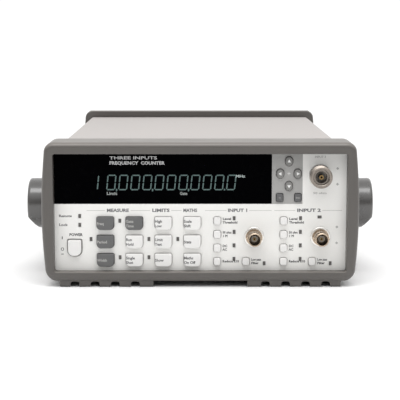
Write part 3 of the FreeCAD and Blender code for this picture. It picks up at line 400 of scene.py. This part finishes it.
def display_glass():
    """Dark display glass with the fine wires of its grid."""
    s = Shader("display_glass")
    x, _, _ = s.axes()
    grid = s.span(s.maths("SINE", s.maths("MULTIPLY", x, 2 * math.pi / (0.5 * MM))), -1.0, 1.0)
    s.link(s.mix(grid, srgb(20, 24, 24), srgb(36, 42, 42)), s.surface.inputs["Base Color"])
    s.link(s.span(s.noise(100.0), 0.3, 0.7, 0.05, 0.14), s.surface.inputs["Roughness"])
    s.set(Coat_Weight=0.8)
    return s.material


def insulator():
    colour = srgb(206, 198, 184)
    # Painted shade darkens hollows within 8 mm, down to 0.35 of the tone.
    return moulded("white_insulator", colour, 0.38, 900.0, 0.02, 0.03, recess=8.0 * MM, left=0.35).material


def silicone():
    return moulded("silicone", srgb(176, 178, 178), 0.6, 700.0, 0.04, 0.05).material


def print_ink(name, colour):
    """Screen-printed ink with slightly uneven cover."""
    s = Shader(name)
    cover = s.span(s.noise(3000.0), 0.3, 0.7)
    s.link(s.mix(cover, scaled(colour, 0.85), scaled(colour, 1.1)), s.surface.inputs["Base Color"])
    s.link(s.span(s.noise(1500.0), 0.3, 0.7, 0.5, 0.65), s.surface.inputs["Roughness"])
    return s.material


def glow(name, colour, strength):
    """Phosphor of a lit display segment: grainy and slightly uneven."""
    s = Shader(name)
    grain = s.span(s.noise(2500.0), 0.3, 0.7)
    tone = s.mix(grain, scaled(colour, 0.8), scaled(colour, 1.15))
    s.link(tone, s.surface.inputs["Base Color"])
    s.link(tone, s.surface.inputs["Emission Color"])
    s.set(Emission_Strength=strength, Roughness=0.5)
    return s.material


MATERIALS = {
    "bumper_rubber": bumper_rubber(),
    "cover_paint": cover_paint(),
    "rear_plate": moulded("rear_plate", srgb(196, 193, 188), 0.45, 900.0, 0.05, 0.02).material,
    "panel_plastic": panel_plastic(),
    "window_plastic": window_plastic(),
    "display_glass": display_glass(),
    "circuit_board": circuit_board(),
    "silicone": silicone(),
    "lens_plastic": lens_plastic(),
    "black_plastic": black_plastic(),
    "supply_parts": supply_parts(),
    "cable_grey": ribbed_cable(),
    "handle_plastic": handle_plastic(),
    "dark_key_plastic": dark_key_plastic(),
    "light_key_plastic": light_key_plastic(),
    "arrow_key_plastic": pad_key_plastic("arrow_key_plastic", ARROW_KEY),
    "square_key_plastic": pad_key_plastic("square_key_plastic", SQUARE_KEY),
    "white_insulator": insulator(),
    "steel_plate": metal("steel_plate", srgb(196, 196, 190), 0.34, 0.3),
    "tinned_steel": metal("tinned_steel", srgb(206, 203, 196), 0.3, 0.25),
    "nickel": metal("nickel", srgb(240, 238, 234), 0.3, 0.15, proud=2.3 * MM, proud_colour=PROUD_NICKEL_TAN),
    "gold_contacts": metal("gold_contacts", srgb(150, 124, 84), 0.3, 0.15),
}
BRIGHT_PLATE = metal("bright_plate", srgb(240, 239, 236), 0.3, 0.2, 0.35, 2.6 * MM, DULL_PLATE)
DARK_INK = print_ink("dark_ink", srgb(58, 58, 60))
HEADING_INK = print_ink("heading_ink", srgb(104, 104, 106))
FAINT_INK = print_ink("faint_ink", srgb(172, 171, 168))
PALE_INK = print_ink("pale_ink", srgb(228, 228, 226))
WINDOW_INK = print_ink("window_ink", srgb(190, 190, 190))
SEGMENT = glow("segment_glow", srgb(72, 92, 90), 0.25)
BRIGHT_SEGMENT = glow("bright_segment_glow", srgb(150, 160, 158), 0.35)
# Faint painted glow for the unlit annunciators.
DIM_SEGMENT = glow("dim_segment_glow", srgb(128, 132, 130), 0.3)


def dress_nodes():
    """Every CAD node takes the procedural material of its slot."""
    for part in frame["record"]["subparts"]:
        node = frame["nodes"][part["node"]]
        node.data.materials.clear()
        node.data.materials.append(MATERIALS[part["material_slot"]])


# ---------------------------------------------------------------- mesh helpers
def mesh_from(name, solids):
    """One mesh from several bmesh solids."""
    whole = bmesh.new()
    for solid in solids:
        part = bpy.data.meshes.new("part")
        solid.to_mesh(part)
        solid.free()
        whole.from_mesh(part)
        bpy.data.meshes.remove(part)
    bmesh.ops.recalc_face_normals(whole, faces=whole.faces)
    mesh = bpy.data.meshes.new(name)
    whole.to_mesh(mesh)
    whole.free()
    return mesh


def piece(name, solids, material, body):
    """One named piece of the look, made of bmesh solids, which rides on a body of the frame."""
    mesh = mesh_from(name, solids)
    mesh.materials.append(material)
    obj = bpy.data.objects.new(name, mesh)
    bpy.context.scene.collection.objects.link(obj)
    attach(obj, body)
    return obj


def slab(outline, y):
    """A closed thin solid from an XZ outline in metres, standing proud of plane y towards the front."""
    solid = bmesh.new()
    front = [solid.verts.new((x, y - PRINT_T, z)) for x, z in outline]
    back = [solid.verts.new((x, y, z)) for x, z in outline]
    solid.faces.new(front)
    solid.faces.new(list(reversed(back)))
    count = len(outline)
    for i in range(count):
        j = (i + 1) % count
        solid.faces.new((front[j], front[i], back[i], back[j]))
    return solid


def bar(x0, x1, z, width, y):
    """A printed line along X."""
    half = width / 2
    return slab([(x0, z - half), (x1, z - half), (x1, z + half), (x0, z + half)], y)


def lathe(profile, x, z, steps=72, phase=0.0):
    """A turned solid about an axis along Y, from a closed list of (radius, y) points."""
    solid = bmesh.new()
    turns = [2 * math.pi * (k + phase) / steps for k in range(steps)]
    around = [(math.cos(angle), math.sin(angle)) for angle in turns]
    loops = []
    for radius, y in profile:
        loops.append([solid.verts.new((x + radius * u, y, z + radius * v)) for u, v in around])
    count = len(profile)
    for a in range(count):
        b = (a + 1) % count
        for k in range(steps):
            n = (k + 1) % steps
            solid.faces.new((loops[a][k], loops[a][n], loops[b][n], loops[b][k]))
    return solid


def ring(x, z, inner, outer, y, steps=40):
    """A flat printed ring."""
    return lathe([(outer, y - PRINT_T), (inner, y - PRINT_T), (inner, y), (outer, y)], x, z, steps)


def lettering(text, x, z, height, y, align="CENTER", back=False, weight=0.035, width=None):
    """Thin raised letters on plane y, facing the front or the back, stretched to a width if one is given."""
    curve = bpy.data.curves.new("letters", "FONT")
    curve.body = text
    curve.size = height * 1.38
    curve.align_x = align
    curve.align_y = "CENTER"
    curve.extrude = PRINT_T / 2
    curve.offset = weight * height
    curve.resolution_u = 2
    holder = bpy.data.objects.new("letters", curve)
    bpy.context.scene.collection.objects.link(holder)
    flat = bpy.data.meshes.new_from_object(holder)
    bpy.data.objects.remove(holder)
    bpy.data.curves.remove(curve)
    if width is not None:
        across = [v.co.x for v in flat.vertices]
        flat.transform(Matrix.Scale(width / (max(across) - min(across)), 4, (1, 0, 0)))
    side = 1 if back else -1
    turn = Matrix.Rotation(math.pi if back else 0, 4, "Z") @ Matrix.Rotation(math.pi / 2, 4, "X")
    flat.transform(Matrix.Translation((x, y + side * PRINT_T / 2, z)) @ turn)
    solid = bmesh.new()
    solid.from_mesh(flat)
    bpy.data.meshes.remove(flat)
    return solid


# ---------------------------------------------------------------- printing on the keys
KEY_WORDS = {
    "measure_key_1": ("Freq",), "measure_key_2": ("Period",), "measure_key_3": ("Width",),
    "gate_key": ("Gate", "Time"), "run_key": ("Run", "Hold"), "stop_key": ("Single", "Shot"),
    "limits_key_1": ("High", "Low"), "limits_key_2": ("Limit", "Test"), "limits_key_3": ("Show",),
    "maths_key_1": ("Scale", "Shift"), "maths_key_2": ("Stats",), "maths_key_3": ("Maths", "On Off"),
}
PAD_WORDS = {"sign_key": "+/-", "enter_key": "Enter"}


def key_legends():
    """Raised words on the large and square keys, each riding on its own cap."""
    dark_slots = ("dark_key_plastic", "square_key_plastic")
    dark = [part["node"] for part in frame["record"]["subparts"] if part["material_slot"] in dark_slots]
    inset = 0.9 * MM
    height = 2.0 * MM
    pitch = 3.3 * MM
    for key, words in KEY_WORDS.items():
        lo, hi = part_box(key)
        middle = (lo[2] + hi[2]) / 2
        solids = []
        for row, word in enumerate(words):
            z = middle + pitch * ((len(words) - 1) / 2 - row)
            solids.append(lettering(word, lo[0] + inset, z, height, lo[1], "LEFT"))
        ink = FAINT_INK if key in dark else DARK_INK
        piece(f"{key}_legend", solids, ink, f"{key}_cap")
    for key, word in PAD_WORDS.items():
        centre = centre_of(key)
        solid = lettering(word, centre[0], centre[2], 1.0 * MM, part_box(key)[0][1])
        piece(f"{key}_legend", [solid], FAINT_INK, f"{key}_cap")


def arrow_marks():
    """White triangles on the four arrow keys, each turned by its own degrees."""
    turns = {"arrow_up_key": 90, "arrow_left_key": 180, "arrow_down_key": 270, "arrow_right_key": 0}
    size = 1.5 * MM
    for key, degrees in turns.items():
        centre = centre_of(key)
        corners = []
        for k in range(3):
            angle = math.radians(degrees + 120 * k)
            corners.append((centre[0] + size * math.cos(angle), centre[2] + size * math.sin(angle)))
        solid = slab(corners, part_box(key)[0][1])
        piece(f"{key}_mark", [solid], PALE_INK, f"{key}_cap")


# ---------------------------------------------------------------- printing on the panel
# In mm across the panel: each heading with its middle and width, and the two ends of each rule.
HEADING_Z = centre_of("measure_key_1")[2] + 9.2 * MM
HEADINGS = [("MEASURE", -59.1, 15.7), ("LIMITS", -28.3, 12.4), ("MATHS", -7.3, 9.9),
            ("INPUT 1", 26.9, 13.8), ("INPUT 2", 77.7, 17.0)]
RULES = [(-81.4, -68.3), (-49.9, -36.0), (-20.9, -13.5), (3.3, 18.8), (35.0, 51.0),
         (53.0, 68.0), (87.4, 101.5)]
# Words beside each channel's small keys, from the top, with the width of the longest word.
INPUT_LABELS = [(("Level", "Threshold"), 10.6), (("50 ohm", "1 M"), 6.2), (("DC", "AC"), 3.3),
                (("Reduce x10",), 11.7), (("Low pass", "Filter"), 7.0)]


def headings():
    """Section names above the keys."""
    return [lettering(word, x * MM, HEADING_Z, 2.3 * MM, PANEL_Y, weight=0.06, width=w * MM)
            for word, x, w in HEADINGS]


def input_labels():
    """Words to the right of each channel's small keys."""
    solids = []
    height = 1.7 * MM
    pitch = 2.6 * MM
    gap = 0.6 * MM
    for channel in (1, 2):
        for row, (words, width) in enumerate(INPUT_LABELS):
            lo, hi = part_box(f"input_{channel}_key_{row + 1}")
            widest = max(words, key=len)
            for k, word in enumerate(words):
                z = (lo[2] + hi[2]) / 2 + pitch * ((len(words) - 1) / 2 - k)
                across = width * MM * len(word) / len(widest)
                solids.append(lettering(word, hi[0] + gap, z, height, PANEL_Y, "LEFT", weight=0.05,
                                        width=across))
    return solids


def power_marks():
    """Name of the power button, its on and standby symbols, and the words beside the upper lights."""
    power = centre_of("power_button")
    solids = [lettering("POWER", power[0] + 0.9 * MM, power[2] + 9.35 * MM, 2.0 * MM, PANEL_Y, weight=0.05,
                        width=9.5 * MM)]
    left = -101.3 * MM
    for word, z, width in (("Remote", 50.4, 9.1), ("Lock", 44.0, 6.2)):
        solids.append(lettering(word, left, z * MM, 1.8 * MM, PANEL_Y, "LEFT", width=width * MM))
    x = -99.1 * MM
    solids.append(bar(x - 0.3 * MM, x + 0.3 * MM, 34.6 * MM, 2.0 * MM, PANEL_Y))
    solids.append(ring(x, 26.4 * MM, 0.75 * MM, 1.15 * MM, PANEL_Y))
    solids.append(bar(x - 0.9 * MM, x + 0.9 * MM, 22.75 * MM, 0.5 * MM, PANEL_Y))
    return solids


def panel_print():
    """Dark printing, then the faint rules, jack captions and diamonds at the right-hand edge."""
    piece("panel_print", input_labels() + power_marks(), DARK_INK, ROOT)
    piece("panel_headings", headings(), HEADING_INK, ROOT)
    faint = [bar(x0 * MM, x1 * MM, HEADING_Z, 0.3 * MM, PANEL_Y) for x0, x1 in RULES]
    jack_3 = centre_of("channel_3_jack")
    faint.append(lettering("INPUT 3", jack_3[0], jack_3[2] + 13.4 * MM, 1.6 * MM, PANEL_Y))
    faint.append(lettering("50 ohm", jack_3[0], jack_3[2] - 12.6 * MM, 1.5 * MM, PANEL_Y, width=9.5 * MM))
    x = 97.9 * MM
    half = 1.1 * MM
    for z in (84.6 * MM, 73.35 * MM, 42.4 * MM, 30.8 * MM):
        faint.append(slab([(x - half, z), (x, z - half), (x + half, z), (x, z + half)], PANEL_Y))
    piece("panel_faint_print", faint, FAINT_INK, ROOT)


def pad_print():
    """Small cross between the arrow keys."""
    lo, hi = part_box("arrow_left_key")
    x = centre_of("arrow_up_key")[0]
    z = (lo[2] + hi[2]) / 2
    reach = 1.1 * MM
    half = 0.17 * MM
    solids = [bar(x - reach, x + reach, z, 2 * half, PANEL_Y), bar(x - half, x + half, z, 2 * reach, PANEL_Y)]
    piece("pad_print", solids, PALE_INK, ROOT)


def rear_print():
    """Port names on the rear panel, above the jacks and the connectors."""
    height = 1.6 * MM
    jack_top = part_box("rear_jacks")[1][2]
    solids = []
    for word, x in (("REF IN", 62), ("REF OUT", 78), ("GATE", 94)):
        solids.append(lettering(word, x * MM, jack_top + 3.5 * MM, height, REAR_Y, back=True))
    ports = (("SERIAL", "serial_connector", 12.0), ("BUS", "bus_connector", 12.5),
             ("AC LINE", "power_inlet", 16.0))
    for word, node, above in ports:
        centre = centre_of(node)
        solids.append(lettering(word, centre[0], centre[2] + above * MM, height, REAR_Y, back=True))
    piece("rear_print", solids, DARK_INK, ROOT)


# ---------------------------------------------------------------- display
DIGIT_H = 10.3 * MM
DIGIT_W = 5.6 * MM
DIGIT_PITCH = 8.56 * MM
NOUGHTS = 11
LEAD_GAP = 9.5 * MM              # from the leading one's stroke to the middle of the first nought
STROKE = 0.85 * MM
SLANT = math.tan(math.radians(6))
SEGMENTS = {"0": "abcdef", "1": "bc"}


def segment(letter, x, z):
    """One six-sided segment of a digit whose centre is x, z, sheared to the display's slant."""
    half_w, half_h = DIGIT_W / 2, DIGIT_H / 2
    gap = 0.18 * MM
    ends = {
        "a": (-half_w, half_h, half_w, half_h), "d": (-half_w, -half_h, half_w, -half_h),
        "b": (half_w, 0, half_w, half_h), "c": (half_w, -half_h, half_w, 0),
        "f": (-half_w, 0, -half_w, half_h), "e": (-half_w, -half_h, -half_w, 0),
    }
    x0, z0, x1, z1 = ends[letter]
    t = STROKE / 2
    if z0 == z1:
        outline = [(x0 + gap, z0), (x0 + gap + t, z0 - t), (x1 - gap - t, z0 - t),
                   (x1 - gap, z0), (x1 - gap - t, z0 + t), (x0 + gap + t, z0 + t)]
    else:
        outline = [(x0, z0 + gap), (x0 + t, z0 + gap + t), (x0 + t, z1 - gap - t),
                   (x0, z1 - gap), (x0 - t, z1 - gap - t), (x0 - t, z0 + gap + t)]
    placed = [(x + u + v * SLANT, z + v) for u, v in outline]
    return slab(placed, WINDOW_LO[1])


def separator(x, z, tail):
    """A square point at the foot of a digit, or a comma if its tail is longer than nothing."""
    half = 0.55 * MM
    outline = [(x - half, z - half), (x - half / 2, z - half - tail), (x + half, z - half),
               (x + half, z + half), (x - half, z + half)]
    return slab(outline, WINDOW_LO[1])


def display_reading():
    """A leading one, then noughts in threes with commas and a point, as lit segments seen at the pane."""
    z = WINDOW_LO[2] + 15.4 * MM
    first = WINDOW_LO[0] + 41.4 * MM
    solids = [segment(letter, first - LEAD_GAP - DIGIT_W / 2, z) for letter in SEGMENTS["1"]]
    for k in range(NOUGHTS):
        x = first + DIGIT_PITCH * k
        solids += [segment(letter, x, z) for letter in SEGMENTS["0"]]
        if k % 3 == 0:
            tail = 0.0 if k + 3 > NOUGHTS else 1.0 * MM
            foot = z - DIGIT_H / 2
            solids.append(separator(x + DIGIT_PITCH / 2 - DIGIT_H / 2 * SLANT, foot, tail))
    piece("display_reading", solids, SEGMENT, ROOT)
    unit = lettering("MHz", 28.5 * MM, z + 4.4 * MM, 1.9 * MM, WINDOW_LO[1], width=6.6 * MM)
    piece("display_unit", [unit], BRIGHT_SEGMENT, ROOT)


def window_print():
    """Generic heading printed in the corner of the pane, and unlit annunciators under the digits, given a
    faint painted glow.
    """
    left = -64.8 * MM
    top = WINDOW_HI[2]
    y = WINDOW_LO[1]
    solids = [lettering("THREE INPUTS", left, top - 4.2 * MM, 2.2 * MM, y, "LEFT", width=34.1 * MM),
              lettering("FREQUENCY  COUNTER", left, top - 7.9 * MM, 2.3 * MM, y, "LEFT", weight=0.05,
                        width=39.4 * MM)]
    piece("window_print", solids, WINDOW_INK, ROOT)
    low = WINDOW_LO[2] + 7.4 * MM
    dim = [lettering(word, x * MM, low, 2.2 * MM, y, width=w * MM) for word, x, w in
           (("Limit", -63.2, 7.4), ("Gate", -12.0, 5.3))]
    piece("window_annunciators", dim, DIM_SEGMENT, ROOT)


# ---------------------------------------------------------------- screw-coupled jack with its real thread
def threaded_jack():
    """Input 3: flange, rings of thread, stepped bore. It stands for the CAD jack and its nut."""
    lo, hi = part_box("channel_3_jack")
    centre = (lo + hi) / 2
    tip = lo[1]
    pitch = 1.06 * MM
    crest, root, neck, flange, tail = 7.8 * MM, 7.3 * MM, 6.9 * MM, 8.2 * MM, 6.8 * MM
    mouth, step, bore = 5.5 * MM, 4.3 * MM, 3.4 * MM
    turns = 8
    soft = 0.4 * MM
    first = tip + soft
    end = first + pitch * turns
    outer = [(root - 0.3 * MM, tip), (root, tip + 0.3 * MM)]
    for k in range(turns):
        start = first + pitch * k
        outer += [(root, start), (crest, start + 0.35 * pitch), (crest, start + 0.6 * pitch)]
    shoulder = PANEL_Y - 1.8 * MM
    outer += [(root, end), (neck, end + 0.2 * MM), (neck, shoulder), (flange - soft, shoulder),
              (flange, shoulder + soft), (flange, PANEL_Y), (tail, PANEL_Y), (tail, hi[1])]
    deep = tip + 9.5 * MM
    middle = tip + 3.0 * MM
    inner = [(bore, hi[1]), (bore, deep), (step, deep), (step, middle), (mouth, middle), (mouth, first),
             (mouth + soft, tip)]
    shell = lathe(outer + inner, centre[0], centre[2])
    nut_r = (hi[2] - lo[2]) / 2
    nut_front = PANEL_Y + 3.0 * MM
    nut_back = nut_front + 2.6 * MM
    hole = tail + 0.05 * MM
    section = [(hole, nut_front), (nut_r, nut_front), (nut_r, nut_back), (hole, nut_back)]
    nut = lathe(section, centre[0], centre[2], steps=6, phase=0.5)
    jack = piece("threaded_jack", [shell, nut], BRIGHT_PLATE, ROOT)
    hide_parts("channel_3_jack")


# ---------------------------------------------------------------- studio
def area_light(name, place, target, size, watts):
    data = bpy.data.lights.new(name, "AREA")
    data.shape = "RECTANGLE"
    data.size, data.size_y = size
    data.energy = watts
    lamp = bpy.data.objects.new(name, data)
    lamp.location = place
    lamp.rotation_euler = (Vector(target) - Vector(place)).to_track_quat("-Z", "Y").to_euler()
    bpy.context.scene.collection.objects.link(lamp)


def surround():
    """A bright backdrop behind and overhead, and a dim room low down in front of the object."""
    backdrop = 1.05
    overhead = 1.4
    dim = 0.28
    world = bpy.data.worlds.new("studio")
    world.use_nodes = True
    tree = world.node_tree
    direction = tree.nodes.new("ShaderNodeSeparateXYZ")
    tree.links.new(tree.nodes.new("ShaderNodeTexCoord").outputs["Generated"], direction.inputs[0])

    def ramp(value, low, high, out_low, out_high):
        node = tree.nodes.new("ShaderNodeMapRange")
        node.interpolation_type = "SMOOTHSTEP"
        limits = {"From Min": low, "From Max": high, "To Min": out_low, "To Max": out_high}
        for name, number in limits.items():
            node.inputs[name].default_value = number
        tree.links.new(value, node.inputs["Value"])
        return node.outputs["Result"]

    rising = ramp(direction.outputs["Z"], 0.15, 0.75, dim, overhead)
    behind = ramp(direction.outputs["Y"], -0.1, 0.35, 0.0, 1.0)
    blend = tree.nodes.new("ShaderNodeMix")
    tree.links.new(behind, blend.inputs["Factor"])
    tree.links.new(rising, blend.inputs["A"])
    blend.inputs["B"].default_value = backdrop
    tree.links.new(blend.outputs["Result"], tree.nodes["Background"].inputs["Strength"])
    tree.nodes["Background"].inputs["Color"].default_value = (1.0, 1.0, 1.0, 1.0)
    bpy.context.scene.world = world


def studio():
    """A white floor that runs out of sight, the surround, and a large soft box above and in front."""
    mesh = bpy.data.meshes.new("floor")
    reach = 30.0
    drop = -0.05 * MM
    corners = [(-reach, -reach, drop), (reach, -reach, drop), (reach, reach, drop), (-reach, reach, drop)]
    mesh.from_pydata(corners, [], [(0, 1, 2, 3)])
    floor = bpy.data.objects.new("floor", mesh)
    bpy.context.scene.collection.objects.link(floor)
    s = Shader("floor_white")
    tone = s.mix(s.span(s.noise(3.0), 0.3, 0.7), (0.97, 0.97, 0.97, 1), (0.99, 0.99, 0.99, 1))
    s.link(tone, s.surface.inputs["Base Color"])
    s.set(Roughness=0.8)
    mesh.materials.append(s.material)
    surround()
    area_light("top_box", (0.0, -0.5, 0.9), (0.0, -0.1, 0.05), (0.8, 0.35), 3.6)
    bpy.context.scene.view_settings.view_transform = "Standard"


def camera():
    """Seen square on from a little above, from just over a metre in front of the object's middle."""
    down = 7.90
    turned = -0.153
    data = bpy.data.cameras.new("camera")
    data.lens = 112.0
    data.sensor_width = 36.0
    data.clip_start = 0.05
    data.clip_end = 100.0
    eye = bpy.data.objects.new("camera", data)
    eye.location = (-0.0026, -1.0565, 0.18425)
    eye.rotation_euler = (math.radians(90 - down), 0.0, math.radians(turned))
    bpy.context.scene.collection.objects.link(eye)
    bpy.context.scene.camera = eye


dress_nodes()
key_legends()
arrow_marks()
panel_print()
pad_print()
rear_print()
display_reading()
window_print()
threaded_jack()
studio()
camera()
